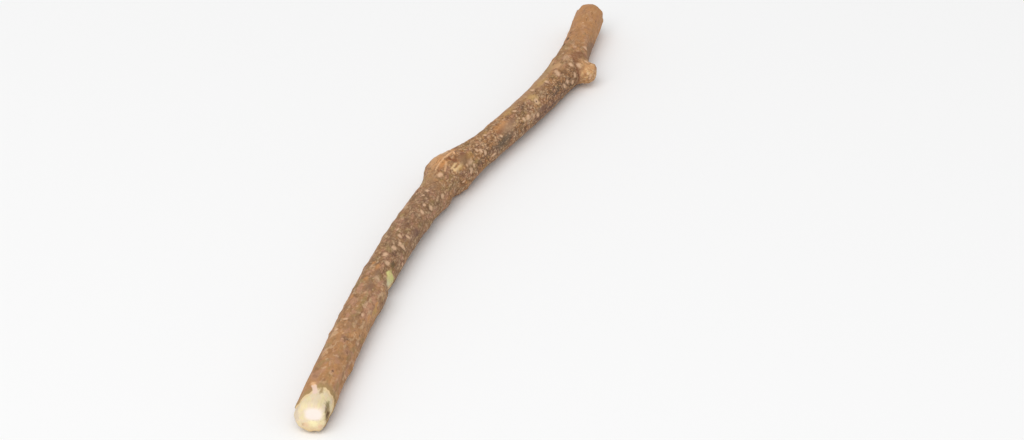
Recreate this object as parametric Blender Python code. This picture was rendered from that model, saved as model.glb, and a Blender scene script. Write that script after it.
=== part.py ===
"""Silver vine stick: a cut length of vine wood with its bark on, about 150 mm long and 6 mm thick.

One piece of wood. It bends at two nodes: the first has the torn scar of a leaf stalk, and the second
the stub of a side shoot. One end is whittled and the other is sawn. It lies on three low points, near
its whittled end and under its two nodes, round its weight.

Metres, +Z up. The stick runs along X with its whittled end towards -X, and the origin lies on the
surface that it rests on, under the middle of the box round it.
"""

import bmesh
import bpy
import numpy as np

MM = 0.001

# Driving dimensions, in millimetres. Places along the stick count from the whittled face, sideways is
# left of the straight line between the ends, and heights are above the surface that it lies on.
LENGTH = 151.0
STEM_RADIUS = 2.72
SIDEWAYS = (
    (0, -0.2),
    (20, 2.45),
    (43, 4.65),
    (67, 5.3),
    (80, 4.3),
    (94, 1.75),
    (109, -0.85),
    (129, -2.15),
    (151, -0.05),
)
HEIGHT = ((0, 2.8), (10, 2.8), (46, 3.3), (80, 3.5), (106, 3.4), (128, 3.15), (151, 3.35))
REST_HEIGHT = 0.0

# Turns about the axis, in degrees: 0 is the left side, 90 the top, 180 the right and 270 the underside
LEFT, TOP, RIGHT, UNDER = 0, 90, 180, 270

# Swellings all round the stem: place, half length, height
SWELLINGS = ((6, 8, 0.2), (80, 6, 0.55), (118, 9, 0.1), (128, 8, 0.25), (148, 8, 0.12))

# Lumps and hollows on one side: place, turn, half length, half width, height
LUMPS = (
    (37.0, RIGHT - 10, 2.8, 2.6, 0.35),
    (41.0, RIGHT - 10, 1.7, 2.6, -0.55),
    (63.0, TOP, 9.0, 3.0, 0.15),
    (73.5, RIGHT + 22, 2.0, 2.0, 0.2),
    (77.3, RIGHT + 22, 2.4, 2.4, -0.8),
    (79.3, LEFT + 3, 2.0, 1.6, 0.4),
    (80.5, LEFT + 20, 5.2, 3.2, 1.25),
    (82.8, LEFT + 38, 1.6, 0.9, -0.2),
    (80.7, TOP - 8, 1.1, 0.9, -0.5),
    (80.0, UNDER, 5.0, 2.4, 0.2),
    (87.0, LEFT + 20, 3.4, 2.6, 0.4),
    (86.5, LEFT + 70, 2.6, 1.2, -0.3),
    (106.0, TOP - 30, 8.0, 3.0, 0.15),
    (128.5, RIGHT + 5, 5.4, 3.3, 0.8),
)

# The torn scar on the first node: a crest of bark that runs up the node and arches over the hollow of
# the bud, given by its places and turns
CREST = ((75.0, 73), (77.2, 73), (79.2, 70), (80.8, 63), (82.2, 68), (82.5, 82))
CREST_HEIGHT = 0.42
CREST_HALF_WIDTH = 0.42

# Long ridges in the bark: how many round the stem, their height at the most, the share of it that is
# left where they fade, and the waves that make them wander, each with its length, size and phase
RIDGES = 8
RIDGE_HEIGHT = 0.12
RIDGE_LEAST_SHARE = 0.2
RIDGE_WAVES = ((9.0, 0.5, 0.0), (3.7, 0.35, 1.0))
RIDGE_FADE_LENGTH = 11.0
OVAL = 0.08
OVAL_TWIST_LENGTH = 40.0

# Lenticels, the raised pores of the bark
LENTICELS = 110
LENTICELS_START = 7.0
LENTICELS_END = 147.0
LENTICEL_HALF_LENGTH = 1.15
LENTICEL_HALF_WIDTH = 0.6
LENTICEL_HEIGHT = 0.15
LENTICEL_SMALLEST = 0.7
LENTICEL_LARGEST = 1.3
SEED = 11

# The whittled end, whose face leans back. The bark's edge, further along on top than underneath, is
# given as turns and the places there, with its ragged waves (how many round the stem, height, phase).
# The tongue of bare wood that reaches into the bark is a line between two places and turns.
BARK_EDGE = (
    (0, 2.8),
    (22, 2.9),
    (45, 2.2),
    (62, 2.2),
    (78, 3.2),
    (92, 4.6),
    (118, 5.2),
    (145, 4.8),
    (168, 4.6),
    (186, 2.8),
    (204, 1.2),
    (235, 0.8),
    (270, 0.9),
    (325, 1.8),
    (360, 2.8),
)
BARK_EDGE_WAVES = ((7, 0.15, 0.0),)
TONGUE = ((2.8, 77), (6.4, 65))
TONGUE_HALF_WIDTH = 0.5
PARED_DEPTH = 0.34
BARK_EDGE_LENGTH = 0.5
FACE_ROUND_LENGTH = 1.2
FACE_ROUND_DEPTH = 0.65
FACE_LEAN = 0.2
FACE_LEAN_REACH = 5.0
NOTCH_PLACE = 1.6
NOTCH_TURN = RIGHT - 22
NOTCH_HALF_LENGTH = 1.0
NOTCH_HALF_WIDTH = 0.8
NOTCH_DEPTH = 0.45

# The sawn end's edge
SAWN_ROUND = 0.35

# The stub of the side shoot on the second node, measured from the stem's axis. Shares are of its length.
STUB_PLACE = 128.5
STUB_TURN = RIGHT + 4
STUB_LEAN = -0.06
STUB_LENGTH = 6.1
STUB_HALF_WIDTH = 2.25
STUB_HALF_HEIGHT = 1.95
STUB_FLARE_ALONG = 1.4
STUB_ROOT_SHARE = 0.28
STUB_NECK_SHARE = 0.72
STUB_DOME_SHARE = 1.03
STUB_WAVES = ((3, 0.05, 0.0), (5, 0.04, 1.0))

# The mesh, the step over which the axis's direction is measured, and the steps along a line on the bark
DIRECTION_STEP = 0.05
LINE_STEPS = 40
SIDES = 34
RING_GAP = 1.25
FINE_RING_GAP = 0.7
FINE_RINGS_PLACE = 82
FINE_RINGS_HALF_LENGTH = 9
END_RING_GAP = 0.42
END_RINGS_LENGTH = 4
STUB_SIDES = 22
STUB_RINGS = 12

# The places of the two materials on the body, and the share of bare wood from which a face is wood
BARK, WOOD = 0, 1
WOOD_FROM = 0.5

BARK_COLOUR = (0.36, 0.22, 0.12, 1.0)
BARK_ROUGHNESS = 0.8
WOOD_COLOUR = (0.80, 0.66, 0.44, 1.0)
WOOD_ROUGHNESS = 0.6


def clear_scene():
    for thing in list(bpy.data.objects):
        bpy.data.objects.remove(thing, do_unlink=True)


def smooth_curve(knots):
    """A function through the knots whose bend changes without a jump: a natural cubic spline."""
    place, value = np.array(knots, float).T
    gap = np.diff(place)
    slope = np.diff(value) / gap
    count = len(place)
    system = np.eye(count)
    change = np.zeros(count)
    for i in range(1, count - 1):
        system[i, i - 1 : i + 2] = gap[i - 1], 2 * (gap[i - 1] + gap[i]), gap[i]
        change[i] = 6 * (slope[i] - slope[i - 1])
    bend = np.linalg.solve(system, change)

    def at(x):
        i = np.clip(np.searchsorted(place, x) - 1, 0, count - 2)
        before = x - place[i]
        after = place[i + 1] - x
        cubic = (bend[i] * after**3 + bend[i + 1] * before**3) / (6 * gap[i])
        start = (value[i] / gap[i] - bend[i] * gap[i] / 6) * after
        end = (value[i + 1] / gap[i] - bend[i + 1] * gap[i] / 6) * before
        return cubic + start + end

    return at


SIDEWAYS_AT = smooth_curve(SIDEWAYS)
HEIGHT_AT = smooth_curve(HEIGHT)
BARK_EDGE_AT = smooth_curve(BARK_EDGE)


def axis_point(x):
    x = np.asarray(x, float)
    return np.stack([x, SIDEWAYS_AT(x), HEIGHT_AT(x)], axis=-1)


def axis_frame(x):
    """The axis's direction at x, with the directions to its left and upwards that are square to it."""
    x = np.asarray(x, float)
    along = axis_point(x + DIRECTION_STEP) - axis_point(x - DIRECTION_STEP)
    along /= np.linalg.norm(along, axis=-1, keepdims=True)
    left = np.stack([-along[..., 1], along[..., 0], np.zeros_like(along[..., 0])], axis=-1)
    left /= np.linalg.norm(left, axis=-1, keepdims=True)
    return along, left, np.cross(along, left)


def smooth_step(value, low, high):
    share = np.clip((value - low) / (high - low), 0, 1)
    return share * share * (3 - 2 * share)


def hump(x, place, half_length):
    return np.exp(-(((x - place) / half_length) ** 2))


def round_the_stem(turn, centre_degrees):
    """How far round the stem a turn lies from a centre, in millimetres of bark."""
    angle = turn - np.radians(centre_degrees)
    return STEM_RADIUS * np.arctan2(np.sin(angle), np.cos(angle))


def waves_round(angle, waves):
    return sum(height * np.sin(count * angle + phase) for count, height, phase in waves)


def swellings(x):
    return sum(height * hump(x, place, half_length) for place, half_length, height in SWELLINGS)


def lumps(x, turn):
    relief = 0
    for place, centre, half_length, half_width, height in LUMPS:
        across = round_the_stem(turn, centre)
        relief = relief + height * hump(x, place, half_length) * hump(across, 0, half_width)
    return relief


def bark_ridges(x, turn):
    """Ridges that wander along the stem and fade in and out, on a stem that isn't quite round."""
    wander = sum(size * np.sin(x / length + phase) for length, size, phase in RIDGE_WAVES)
    fade = (1 + np.sin(x / RIDGE_FADE_LENGTH + 2 * turn)) / 2
    strength = RIDGE_LEAST_SHARE + (1 - RIDGE_LEAST_SHARE) * fade
    ridges = RIDGE_HEIGHT * strength * np.sin(RIDGES * turn + wander)
    return ridges + OVAL * np.cos(2 * turn - x / OVAL_TWIST_LENGTH)


def distance_to_line(x, turn, line):
    """Distance over the bark to a smooth line through the given places and turns."""
    knots = range(len(line))
    steps = np.linspace(0, knots[-1], LINE_STEPS)
    places, turns = (smooth_curve(list(zip(knots, values)))(steps) for values in zip(*line))
    near = np.full(x.shape, np.inf)
    for place, centre in zip(places, turns):
        near = np.minimum(near, np.hypot(x - place, round_the_stem(turn, centre)))
    return near


def scar_crest(x, turn):
    """The torn edge of bark on the first node."""
    return CREST_HEIGHT * hump(distance_to_line(x, turn, CREST), 0, CREST_HALF_WIDTH)


def lenticels(x, turn):
    """Small raised ovals, spread along the stem and drawn with a fixed seed."""
    random = np.random.default_rng(SEED)
    relief = 0
    for i in range(LENTICELS):
        place = LENTICELS_START + (LENTICELS_END - LENTICELS_START) * (i + random.random()) / LENTICELS
        centre = 360 * random.random()
        size = random.uniform(LENTICEL_SMALLEST, LENTICEL_LARGEST)
        along = hump(x, place, LENTICEL_HALF_LENGTH * size)
        across = hump(round_the_stem(turn, centre), 0, LENTICEL_HALF_WIDTH * size)
        relief = np.maximum(relief, LENTICEL_HEIGHT * size * along * across)
    return relief


def bare_wood(x, turn):
    """The share of the bark that the knife took off: 1 on the bare wood, 0 on the bark."""
    edge = BARK_EDGE_AT(np.degrees(turn) % 360) + waves_round(turn, BARK_EDGE_WAVES)
    half = BARK_EDGE_LENGTH / 2
    tongue = hump(distance_to_line(x, turn, TONGUE), 0, TONGUE_HALF_WIDTH)
    return np.maximum(1 - smooth_step(x, edge - half, edge + half), tongue)


def pared(x, turn):
    """What the knife took off the whittled end: the bark, and a notch in the edge of the wood."""
    across = hump(round_the_stem(turn, NOTCH_TURN), 0, NOTCH_HALF_WIDTH)
    notch = NOTCH_DEPTH * hump(x, NOTCH_PLACE, NOTCH_HALF_LENGTH) * across
    return PARED_DEPTH * bare_wood(x, turn) + notch


def quarter_round(distance, length, depth):
    """How much a rounded edge takes away at a distance from the end face."""
    share = np.clip(1 - distance / length, 0, 1)
    return depth * (1 - np.sqrt(1 - share**2))


def stem_radius(x, turn):
    relief = lumps(x, turn) + bark_ridges(x, turn) + scar_crest(x, turn) + lenticels(x, turn)
    bark = STEM_RADIUS + swellings(x) + relief
    face_edge = quarter_round(x, FACE_ROUND_LENGTH, FACE_ROUND_DEPTH)
    sawn_edge = quarter_round(LENGTH - x, SAWN_ROUND, SAWN_ROUND)
    return bark - pared(x, turn) - face_edge - sawn_edge


def ring_places():
    """Where the rings of the mesh are: close at the ends and the first node, wider between them."""
    places = [0.0]
    while places[-1] < LENGTH:
        x = places[-1]
        at_node = hump(x, FINE_RINGS_PLACE, FINE_RINGS_HALF_LENGTH)
        at_end = hump(min(x, LENGTH - x), 0, END_RINGS_LENGTH)
        gap = RING_GAP - (RING_GAP - FINE_RING_GAP) * at_node - (RING_GAP - END_RING_GAP) * at_end
        places.append(x + gap)
    return np.array(places) * LENGTH / places[-1]


def stem_grid():
    """Place and turn of each corner of the stem's mesh, ring by ring."""
    return np.meshgrid(ring_places(), 2 * np.pi * np.arange(SIDES) / SIDES, indexing="ij")


def stem_rings():
    """Points of the stem's surface, ring by ring, in millimetres, with its three low points flat."""
    x, turn = stem_grid()
    along, left, up = axis_frame(x)
    radius = stem_radius(x, turn)[..., None]
    points = axis_point(x) + radius * (np.cos(turn)[..., None] * left + np.sin(turn)[..., None] * up)
    lean = FACE_LEAN * (1 - smooth_step(x, 0, FACE_LEAN_REACH)) * radius[..., 0] * np.sin(turn)
    points += lean[..., None] * along
    points[..., 2] = np.maximum(points[..., 2], REST_HEIGHT)
    return points


def stub_rings():
    """Points of the side shoot's stub, from inside the stem out to its rounded end, in millimetres."""
    along, left, up = axis_frame(STUB_PLACE)
    turn = np.radians(STUB_TURN)
    outward = np.cos(turn) * left + np.sin(turn) * up + STUB_LEAN * along
    outward /= np.linalg.norm(outward)
    over = np.cross(outward, along)
    over /= np.linalg.norm(over)
    beside = np.cross(over, outward)
    shares = STUB_ROOT_SHARE + (1 - STUB_ROOT_SHARE) * np.sin(np.linspace(0, np.pi / 2, STUB_RINGS))
    share, angle = np.meshgrid(shares, 2 * np.pi * np.arange(STUB_SIDES) / STUB_SIDES, indexing="ij")
    flare = STUB_FLARE_ALONG * (1 - smooth_step(share, STUB_ROOT_SHARE, STUB_NECK_SHARE))
    past_neck = np.clip(share - STUB_NECK_SHARE, 0, 1) / (STUB_DOME_SHARE - STUB_NECK_SHARE)
    size = np.sqrt(1 - past_neck**2) * (1 + waves_round(angle, STUB_WAVES))
    to_side = ((STUB_HALF_WIDTH + flare) * size * np.cos(angle))[..., None] * beside
    to_top = (STUB_HALF_HEIGHT * size * np.sin(angle))[..., None] * over
    return axis_point(STUB_PLACE) + STUB_LENGTH * share[..., None] * outward + to_side + to_top


def origin_under_the_middle(*groups):
    """Moves the points so that the box round them all has its middle on the origin's X and Y."""
    points = np.concatenate([group.reshape(-1, 3) for group in groups])
    middle = (points.min(axis=0) + points.max(axis=0)) / 2
    middle[2] = REST_HEIGHT
    return [group - middle for group in groups]


def loft(name, rings, end_material, bare):
    """One closed body through the rings, with a flat face at each end, and wood where it is bare."""
    shape = bmesh.new()
    corners = [[shape.verts.new(point * MM) for point in ring] for ring in rings]
    sides = len(corners[0])
    for k, (ring, after) in enumerate(zip(corners, corners[1:])):
        for i in range(sides):
            j = (i + 1) % sides
            face = shape.faces.new((ring[i], ring[j], after[j], after[i]))
            face.smooth = True
            face.material_index = WOOD if bare[k, i] else BARK
    for ring in (corners[0][::-1], corners[-1]):
        shape.faces.new(ring).material_index = end_material
    bmesh.ops.recalc_face_normals(shape, faces=shape.faces)
    mesh = bpy.data.meshes.new(name)
    shape.to_mesh(mesh)
    shape.free()
    body = bpy.data.objects.new(name, mesh)
    bpy.context.scene.collection.objects.link(body)
    return body


def material(name, colour, roughness):
    made = bpy.data.materials.new(name)
    made.use_nodes = True
    shader = made.node_tree.nodes["Principled BSDF"]
    shader.inputs["Base Color"].default_value = colour
    shader.inputs["Roughness"].default_value = roughness
    shader.inputs["Metallic"].default_value = 0.0
    return made


def join(body, other):
    """Adds another body's solid to this one, and keeps the other only as the shape that it adds."""
    other.hide_render = True
    other.display_type = "WIRE"
    union = body.modifiers.new("Join " + other.name, "BOOLEAN")
    union.operation = "UNION"
    union.solver = "EXACT"
    union.object = other


def main():
    clear_scene()
    bark = material("bark", BARK_COLOUR, BARK_ROUGHNESS)
    wood = material("cut_wood", WOOD_COLOUR, WOOD_ROUGHNESS)
    stem_points, stub_points = origin_under_the_middle(stem_rings(), stub_rings())
    stick = loft("stick", stem_points, WOOD, bare_wood(*stem_grid()) > WOOD_FROM)
    stub = loft("stub_shape", stub_points, BARK, np.zeros(stub_points.shape[:2], bool))
    for body in (stick, stub):
        body.data.materials.append(bark)
        body.data.materials.append(wood)
    join(stick, stub)


main()
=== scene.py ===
"""Silver vine stick: the looks of its bark, its cut ends, its torn leaf scar and its side-shoot stub.

One finely modelled piece stands for the stick's solid. It follows the same form, worked out from the
same sizes, and adds the relief of the bark. The sizes are in millimetres until the mesh is made.
"""

from math import cos, pi, radians, sin

import bpy
import numpy as np
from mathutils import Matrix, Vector, noise


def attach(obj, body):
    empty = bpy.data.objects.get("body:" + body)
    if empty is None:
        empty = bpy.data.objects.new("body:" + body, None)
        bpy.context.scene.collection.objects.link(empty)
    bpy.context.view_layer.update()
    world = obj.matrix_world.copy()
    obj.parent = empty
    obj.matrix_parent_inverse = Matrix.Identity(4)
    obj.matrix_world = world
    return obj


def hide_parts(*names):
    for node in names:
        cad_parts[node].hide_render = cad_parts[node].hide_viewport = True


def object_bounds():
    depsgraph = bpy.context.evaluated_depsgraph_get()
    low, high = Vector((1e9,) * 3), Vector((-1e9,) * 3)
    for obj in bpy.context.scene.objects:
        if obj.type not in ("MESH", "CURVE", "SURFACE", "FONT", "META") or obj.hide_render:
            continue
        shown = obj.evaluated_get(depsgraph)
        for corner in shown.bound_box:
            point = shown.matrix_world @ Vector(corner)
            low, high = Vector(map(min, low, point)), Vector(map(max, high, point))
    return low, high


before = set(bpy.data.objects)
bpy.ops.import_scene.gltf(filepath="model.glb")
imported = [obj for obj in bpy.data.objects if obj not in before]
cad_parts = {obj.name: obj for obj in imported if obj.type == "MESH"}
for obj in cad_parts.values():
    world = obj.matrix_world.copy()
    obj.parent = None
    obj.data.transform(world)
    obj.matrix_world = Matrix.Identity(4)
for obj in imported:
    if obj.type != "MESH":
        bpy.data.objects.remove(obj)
cad_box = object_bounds()

MM = 0.001

# The form, as the solid has it. Places along the stick count from the whittled face, sideways is left
# of the straight line between the ends, and heights are above the surface that it lies on.
LENGTH = 151.0
STEM_RADIUS = 2.72
SIDEWAYS = (
    (0, -0.2),
    (20, 2.45),
    (43, 4.65),
    (67, 5.3),
    (80, 4.3),
    (94, 1.75),
    (109, -0.85),
    (129, -2.15),
    (151, -0.05),
)
HEIGHT = ((0, 2.8), (10, 2.8), (46, 3.3), (80, 3.5), (106, 3.4), (128, 3.15), (151, 3.35))

# Where the origin lies: under the middle of the box round the solid
MIDDLE = (75.442, 0.434, 0.0)

# Turns about the axis, in degrees: 0 is the left side, 90 the top, 180 the right and 270 the underside
LEFT, TOP, RIGHT, UNDER = 0, 90, 180, 270

# Swellings all round the stem: place, half length, height
SWELLINGS = ((6, 8, 0.2), (80, 6, 0.55), (118, 9, 0.1), (128, 8, 0.25), (148, 8, 0.12))

# Lumps and hollows on one side: place, turn, half length, half width, height
LUMPS = (
    (37.0, RIGHT - 10, 2.8, 2.6, 0.35),
    (41.0, RIGHT - 10, 1.7, 2.6, -0.55),
    (63.0, TOP, 9.0, 3.0, 0.15),
    (73.5, RIGHT + 22, 2.0, 2.0, 0.2),
    (77.3, RIGHT + 22, 2.4, 2.4, -0.8),
    (79.3, LEFT + 3, 2.0, 1.6, 0.4),
    (80.5, LEFT + 20, 5.2, 3.2, 1.25),
    (82.8, LEFT + 38, 1.6, 0.9, -0.2),
    (80.7, TOP - 8, 1.1, 0.9, -0.5),
    (80.0, UNDER, 5.0, 2.4, 0.2),
    (87.0, LEFT + 20, 3.4, 2.6, 0.4),
    (86.5, LEFT + 70, 2.6, 1.2, -0.3),
    (106.0, TOP - 30, 8.0, 3.0, 0.15),
    (128.5, RIGHT + 5, 5.4, 3.3, 0.8),
)

# The torn scar on the first node: a crest of bark that runs up the node and arches over the hollow of
# the bud, given by its places and turns, with a lip along it and a fold beside it that are finer. The lip
# is painted pale as a highlight, and a reddish band beside the crest is painted shade.
CREST = ((75.4, 76), (77.2, 76), (78.7, 76), (80.0, 74), (81.1, 73), (81.9, 78), (81.6, 86))
CREST_HEIGHT = 0.36
CREST_HALF_WIDTH = 0.34
CREST_LIP_HEIGHT = 0.2
CREST_LIP_HALF_WIDTH = 0.15
FOLD = ((75.8, 102), (77.2, 94), (78.4, 86))
FOLD_HEIGHT = 0.16
FOLD_HALF_WIDTH = 0.2
# Painted shade: the line of a reddish band beside the crest, where the hollow next to it lies
CREST_PAINTED_SHADE = ((75.4, 84), (77.6, 84), (79.4, 82), (80.6, 80))
CREST_PAINTED_SHADE_HALF_WIDTH = 0.22
LINE_STEPS = 40

# Small hollows beside the crest, the corner of the leaf's shield, and the side that narrows to the
# whittled face: place, turn, half length, half width, height
HOLLOWS = (
    (78.7, 22, 1.4, 1.3, 0.16),
    (9.0, 186, 7.0, 2.2, -0.44),
    (1.0, 350, 2.5, 1.6, 0.15),
    (80.4, 84, 0.75, 0.5, -0.26),
    (80.3, 97, 0.7, 0.45, -0.28),
    (78.7, 83, 0.8, 0.3, -0.14),
    (83.6, 92, 1.2, 0.35, -0.15),
    (79.4, 52, 1.4, 0.3, -0.14),
)

# Long ridges in the bark, and the waves that make them wander: length, size and phase
RIDGES = 8
RIDGE_HEIGHT = 0.12
RIDGE_LEAST_SHARE = 0.2
RIDGE_WAVES = ((9.0, 0.5, 0.0), (3.7, 0.35, 1.0))
RIDGE_FADE_LENGTH = 11.0
OVAL = 0.08
OVAL_TWIST_LENGTH = 40.0

# The low swellings under the larger pores of the bark
PADS = 110
PADS_START = 7.0
PADS_END = 147.0
PAD_HALF_LENGTH = 1.15
PAD_HALF_WIDTH = 0.6
PAD_HEIGHT = 0.15
PAD_SMALLEST = 0.7
PAD_LARGEST = 1.3
PAD_SEED = 11

# The whittled end, whose face leans back, with a second cut across its lower part. The bark's edge,
# further along on top than underneath, is given as turns and the places there, with its ragged waves
# (how many round the stem, height, phase). The tongue of bare wood is a line between places and turns.
BARK_EDGE = (
    (0, 2.3),
    (22, 2.0),
    (46, 2.4),
    (64, 3.2),
    (78, 4.3),
    (88, 5.0),
    (102, 5.4),
    (122, 5.5),
    (142, 5.3),
    (164, 5.3),
    (184, 4.7),
    (204, 3.2),
    (225, 2.0),
    (250, 1.9),
    (290, 2.1),
    (325, 2.3),
    (360, 2.3),
)
BARK_EDGE_WAVES = ((7, 0.15, 0.0), (19, 0.08, 2.0), (31, 0.05, 0.5))
TONGUE = ((3.8, 86), (5.0, 80), (5.8, 72))
TONGUE_HALF_WIDTH = 0.5
PARED_DEPTH = 0.2
BARK_EDGE_LENGTH = 0.3
FACE_ROUND_LENGTH = 1.0
FACE_ROUND_DEPTH = 0.6
FACE_LEAN = 0.2
FACE_LEAN_REACH = 5.0
FACE_BULGE = 0.12
LOWER_CUT_START = 0.5
LOWER_CUT_SLOPE = 0.2
LOWER_CUT_REACH = 1.6
NOTCH_PLACE = 1.7
NOTCH_TURN = RIGHT + 1
NOTCH_HALF_LENGTH = 1.5
NOTCH_HALF_WIDTH = 1.25
NOTCH_DEPTH = 0.3
KNIFE_CUTS = 9
KNIFE_CUT_DEPTH = 0.07

# The middle of the whittled face, painted whiter as a highlight, from the stem's axis: left, up, half
# width, half height. How far from the face its colours reach.
FACE_HIGHLIGHT = (-0.45, 0.95, 1.46, 1.0)
FACE_HIGHLIGHT_SQUARENESS = 2.8
FACE_REACH = 1.4

# The sawn end
SAWN_ROUND = 0.35
RINGS_PER_MM = 1.8
PITH_RADIUS = 0.45

# The stub of the side shoot, measured from the stem's axis, and how far its foot reaches over the bark
STUB_PLACE = 128.5
STUB_TURN = RIGHT + 4
STUB_LEAN = -0.06
STUB_NECK = 4.39
STUB_DOME = 1.71
STUB_DOME_FULLNESS = 0.18
STUB_HALF_WIDTH = 2.25
STUB_HALF_HEIGHT = 1.95
STUB_WAVES = ((1, -0.08, pi / 2), (3, 0.05, 0.0), (5, 0.04, 1.0))
STUB_HEAD_REACH = 2.2
STUB_FOOT_REACH = 3.9

# The mesh, and where its rows are closer: place, half length, how much
SIDES = 132
STEM_ROWS = 680
FACE_ROWS = 18
CLOSE_ROWS = ((0, 3, 2.5), (82, 10, 0.8), (STUB_PLACE, 6, 1.0), (LENGTH, 2, 1.5))
DIRECTION_STEP = 0.05

# Pores, the pale spots of the bark, where they show most: place, turn, half length, half width
PORES = (
    (21.5, 162, 0.5, 0.3),
    (22.6, 60, 0.4, 0.5),
    (25.8, 74, 0.35, 0.5),
    (28.4, 128, 0.6, 0.3),
    (44.6, 120, 0.7, 0.6),
    (46.6, 96, 0.65, 0.55),
    (49.4, 114, 0.6, 0.55),
    (48.5, 180, 0.3, 0.3),
    (49.5, 168, 0.3, 0.4),
    (51.1, 142, 0.42, 0.8),
    (51.6, 122, 0.3, 0.35),
    (53.2, 108, 0.5, 0.5),
    (54.5, 138, 0.4, 0.8),
    (55.1, 88, 0.5, 0.25),
    (62.7, 128, 0.52, 0.42),
    (64.9, 118, 0.52, 0.42),
    (65.7, 144, 0.62, 0.5),
    (67.3, 92, 0.3, 0.35),
    (69.1, 94, 0.5, 0.42),
    (70.8, 152, 0.62, 0.42),
    (74.6, 95, 0.7, 0.6),
    (79.2, 178, 1.1, 0.2),
    (82.1, 162, 0.6, 0.7),
    (83.4, 156, 0.5, 0.5),
    (86.9, 120, 0.5, 0.45),
    (87.7, 131, 0.5, 0.45),
    (88.3, 149, 0.55, 0.5),
    (90.8, 178, 1.2, 0.24),
    (92.0, 92, 0.4, 0.35),
    (94.6, 138, 0.4, 0.35),
    (102.6, 96, 0.5, 0.5),
    (102.7, 144, 0.45, 0.5),
    (104.1, 150, 0.6, 0.55),
    (106.1, 163, 0.55, 0.55),
    (107.6, 174, 0.5, 0.5),
    (109.1, 126, 0.6, 0.6),
    (111.8, 78, 0.45, 0.6),
    (115.9, 98, 0.45, 0.55),
    (119.5, 164, 0.55, 0.65),
    (120.3, 110, 0.7, 0.65),
    (121.0, 159, 0.55, 0.55),
    (122.9, 180, 0.5, 0.5),
    (124.2, 163, 0.6, 0.6),
    (125.0, 128, 0.55, 0.7),
    (126.6, 136, 0.6, 0.7),
    (129.0, 132, 0.55, 0.6),
    (130.3, 146, 0.42, 0.58),
    (133.6, 140, 0.65, 0.6),
    (142.4, 92, 0.2, 0.25),
    (144.7, 96, 0.25, 0.2),
    (127.0, 168, 0.35, 0.25),
    (127.4, 178, 0.4, 0.3),
    (127.2, 187, 0.3, 0.25),
    (128.3, 171, 0.35, 0.25),
    (128.2, 183, 0.4, 0.3),
    (129.0, 176, 0.3, 0.25),
)

# More of them are drawn by a rule, crowded where the bark is full of them: place, share
SMALL_PORES = 320
SMALL_PORE_HALF_LENGTHS = (0.2, 0.42)
SMALL_PORE_HALF_WIDTHS = (0.18, 0.42)
SMALL_PORE_STRENGTHS = (0.15, 0.75)
SMALL_PORE_SEED = 23
SMALL_PORES_START = 9.0
PORE_CROWDING = ((0, 0.08), (30, 0.25), (42, 0.8), (60, 0.9), (100, 1.0), (132, 1.0), (140, 0.2), (151, 0.1))
PORE_HEIGHT = 0.07
PORE_RIM_DEPTH = 0.025
PORE_EDGE = (0.2, 1.45)
PORE_RAGGED = 0.4
PORE_NEAR = 1.6

# Noise in the relief: its size along the stem and across it, its octaves and its own shift
PORE_RAGS = (0.5, 0.5, 2, 90.0)
FIBRES = (5.0, 0.42, 3, 3.1)
BUMPS = (2.2, 1.0, 3, 7.7)
CRUMBS = (0.75, 0.4, 2, 12.3)
CRACKS = (3.0, 0.5, 2, 21.9)
CRACKED_AREAS = (9.0, 3.0, 2, 33.3)
FOLDS = (3.2, 0.6, 2, 41.0)
WOOD_GRAIN = (3.0, 0.25, 2, 55.0)
KNIFE_MARKS = (1.2, 1.2, 1, 61.0)

# Heights of the relief, more where the node and the stub make the bark rougher
NODE = (81, 6)
FIBRE_HEIGHT = 0.045
SMOOTHEST_SHARE = 0.4
BUMP_HEIGHT = 0.05
CRUMB_HEIGHT = 0.025
ROUGH_BUMP_HEIGHT = 0.08
ROUGH_CRUMB_HEIGHT = 0.05
FOLDS_HEIGHT = 0.09
CRACK_DEPTH = 0.06
WOOD_GRAIN_HEIGHT = 0.018
KNIFE_MARK_HEIGHT = 0.03
SAW_MARK_HEIGHT = 0.012
SAW_MARK_GAP = 0.45

# How orange the bark is along the stem, from grey-brown at 0, and how dark and speckled, from none at 0
WARMTH = (
    (0, 0.75),
    (26, 0.62),
    (36, 0.48),
    (50, 0.25),
    (68, 0.25),
    (76, 0.55),
    (83, 0.75),
    (92, 0.55),
    (104, 0.6),
    (116, 0.55),
    (127, 0.55),
    (136, 0.85),
    (151, 1.0),
)
SPECKLE = (
    (0, 0.05),
    (30, 0.15),
    (42, 0.4),
    (56, 0.45),
    (68, 0.55),
    (76, 0.6),
    (84, 0.8),
    (94, 0.85),
    (108, 0.8),
    (120, 0.8),
    (129, 0.6),
    (136, 0.2),
    (151, 0.08),
)

# Where the bark is calm and smooth instead: place, turn, half length, half width, strength
CALM = (
    (57.0, 34, 9.0, 2.6, 0.8),
    (74.4, 72, 3.2, 1.8, 0.85),
    (96.0, 50, 8.0, 1.8, 0.6),
    (112.0, 68, 9.0, 2.2, 0.9),
    (122.5, 72, 8.0, 2.4, 0.9),
    (133.0, 150, 4.0, 3.0, 0.5),
)

MOTTLE = ((0, 0.6), (20, 0.8), (36, 1.0), (60, 0.8), (126, 0.8), (140, 0.4), (151, 0.35))

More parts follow.
